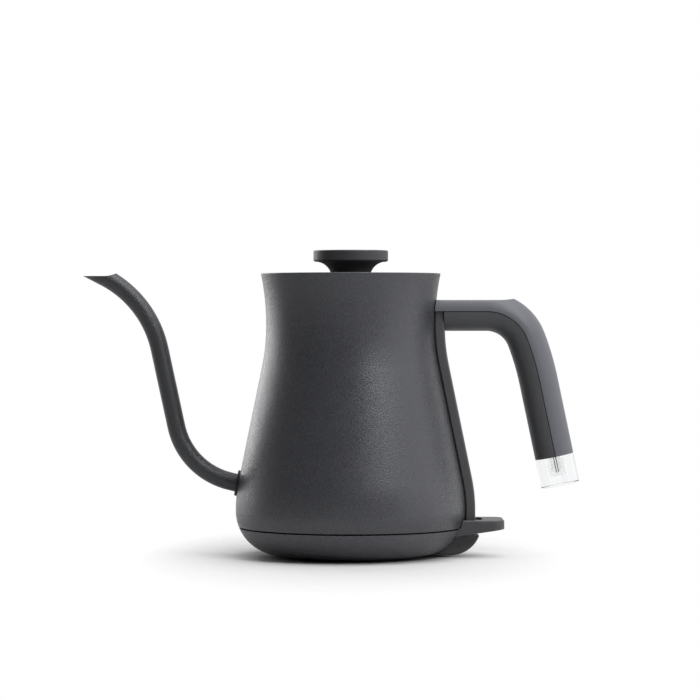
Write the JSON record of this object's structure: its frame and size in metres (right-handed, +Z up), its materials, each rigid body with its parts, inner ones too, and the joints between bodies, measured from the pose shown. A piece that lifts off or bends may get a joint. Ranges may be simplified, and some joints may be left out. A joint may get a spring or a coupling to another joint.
{
  "type": "electric gooseneck kettle",
  "caption": "Electric pour-over kettle: hourglass body with a long curved spout, flat-topped loop handle with a clear lamp cap, lift-off lid with a disc knob and a tail switch.",
  "frame": {"origin": "on the axis of the round body, in the plane of the foot ring's underside, which is the table", "axes": "+Z up, +X towards the handle and the switch, -X towards the spout, +Y to the far side"},
  "size_m": [0.2704, 0.1254, 0.1667],
  "materials": {
    "body_coat": "fine pebbled powder coat, dark grey",
    "spout_coat": "fine pebbled powder coat, dark grey",
    "lid_coat": "fine pebbled powder coat, dark grey",
    "knob_plastic": "fine matt",
    "stem_plastic": "matt black",
    "housing_plastic": "fine matt, colour matched to the body",
    "lever_plastic": "fine matt",
    "tail_plastic": "fine matt",
    "spine_plastic": "fine matt",
    "grip_top_plastic": "fine matt",
    "grip_under_plastic": "fine matt",
    "lamp_clear": "clear polished",
    "lamp_glass": "clear polished",
    "electrode_steel": "drawn wire",
    "base_plastic": "fine matt",
    "foot_rubber": "matt",
    "socket_plastic": "fine matt",
    "contact_brass": "rolled",
    "inner_plastic": "moulded heat-proof plastic",
    "inner_steel": "spun and brushed",
    "hardware_steel": "rolled",
    "element_aluminium": "as cast",
    "seal_rubber": "silicone",
    "seam_rubber": "matt black",
    "lead_insulation": "glass-fibre sleeving"
  },
  "bodies": {
    "kettle": {"body_shell": "body_coat", "mouth_ring": "inner_steel", "spout": "spout_coat", "spout_collar": "spout_coat", "floor_plate": "inner_steel", "heat_spreader": "element_aluminium", "heating_element": "element_aluminium", "element_terminals": "hardware_steel", "base_posts": "hardware_steel", "lower_housing": "housing_plastic", "seam_gasket": "seam_rubber", "base_cover": "base_plastic", "foot_ring": "foot_rubber", "base_screws": "hardware_steel", "connector_socket": "socket_plastic", "connector_contacts": "contact_brass", "control_block": "inner_plastic", "control_screws": "hardware_steel", "dry_boil_discs": "hardware_steel", "contact_cover": "inner_plastic", "fixed_contacts": "contact_brass", "lever_pin": "hardware_steel", "plunger_spring": "hardware_steel", "tail_housing": "tail_plastic", "bimetal_carrier": "inner_plastic", "steam_bimetal": "hardware_steel", "spine_cover": "spine_plastic", "steam_tube": "seal_rubber", "steam_grommet": "seal_rubber", "handle_top_shell": "grip_top_plastic", "handle_under_shell": "grip_under_plastic", "handle_bracket": "hardware_steel", "handle_screws": "hardware_steel", "lamp_cap": "lamp_clear", "lamp_bulb": "lamp_glass", "lamp_electrodes": "electrode_steel", "lamp_holder": "inner_plastic", "lamp_leads": "lead_insulation"},
    "lid": {"lid_plate": "lid_coat", "lid_gasket": "seal_rubber", "lid_pan": "inner_steel", "knob_washer": "seal_rubber", "knob_stem": "stem_plastic", "knob_cap": "knob_plastic", "knob_screw": "hardware_steel"},
    "lever": {"switch_lever": "lever_plastic"},
    "plunger": {"contact_plunger": "inner_plastic", "contact_bridge": "contact_brass"}
  },
  "joints": [
    {"name": "lid_lift", "type": "slide", "parent": "kettle", "child": "lid", "axis": [0, 0, 1], "range_m": [0, 0.08]},
    {"name": "switch_press", "type": "hinge", "parent": "kettle", "child": "lever", "pos_m": [0.05, 0, 0.013], "axis": [0, 1, 0], "range_deg": [0, 5.5], "stiffness_Nm_per_rad": 0.3, "springref_deg": -11.46},
    {"name": "plunger_lift", "type": "slide", "parent": "kettle", "child": "plunger", "axis": [0, 0, 1], "range_m": [0, 0.00135], "deforming": ["plunger_spring"]}
  ],
  "couplings": [
    {"joint": "plunger_lift", "follows": "switch_press", "m_per_rad": 0.014}
  ]
}
